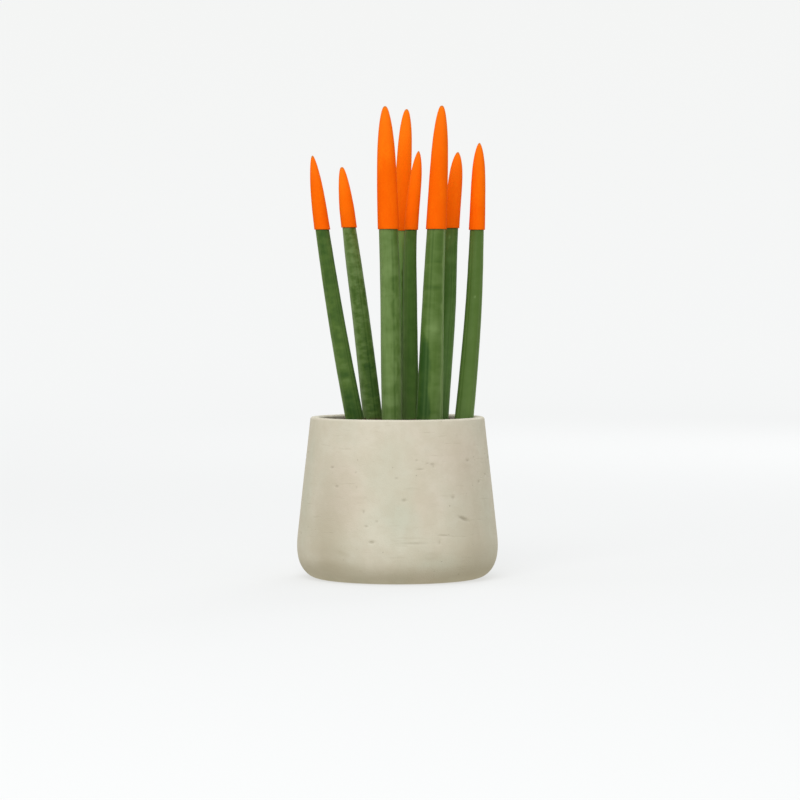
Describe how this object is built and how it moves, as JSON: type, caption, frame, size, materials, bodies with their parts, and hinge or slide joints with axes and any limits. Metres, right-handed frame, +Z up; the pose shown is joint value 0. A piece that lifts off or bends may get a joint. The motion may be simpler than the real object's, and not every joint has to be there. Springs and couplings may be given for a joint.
{
  "type": "potted cylindrical snake plant",
  "caption": "Cylindrical snake plant with upright round leaves, their ends dipped in orange paint, growing in a rounded concrete pot that narrows towards its rim.",
  "frame": {"origin": "middle of the pot's flat foot, on the surface that the pot stands on", "axes": "+Z up along the pot's axis; -Y towards the viewer, the plant's best side; +X to the viewer's right"},
  "size_m": [0.154, 0.154, 0.359],
  "materials": {
    "concrete": "matte",
    "potting_soil": "matte",
    "leaf": "satin",
    "orange_paint": "matte"
  },
  "bodies": {
    "root": {"planter": "concrete", "soil": "potting_soil", "leaf_1": "leaf", "leaf_2": "leaf", "leaf_3": "leaf", "leaf_4": "leaf", "leaf_5": "leaf", "leaf_6": "leaf", "leaf_7": "leaf", "leaf_8": "leaf", "paint_1": "orange_paint", "paint_2": "orange_paint", "paint_3": "orange_paint", "paint_4": "orange_paint", "paint_5": "orange_paint", "paint_6": "orange_paint", "paint_7": "orange_paint", "paint_8": "orange_paint"}
  },
  "joints": []
}
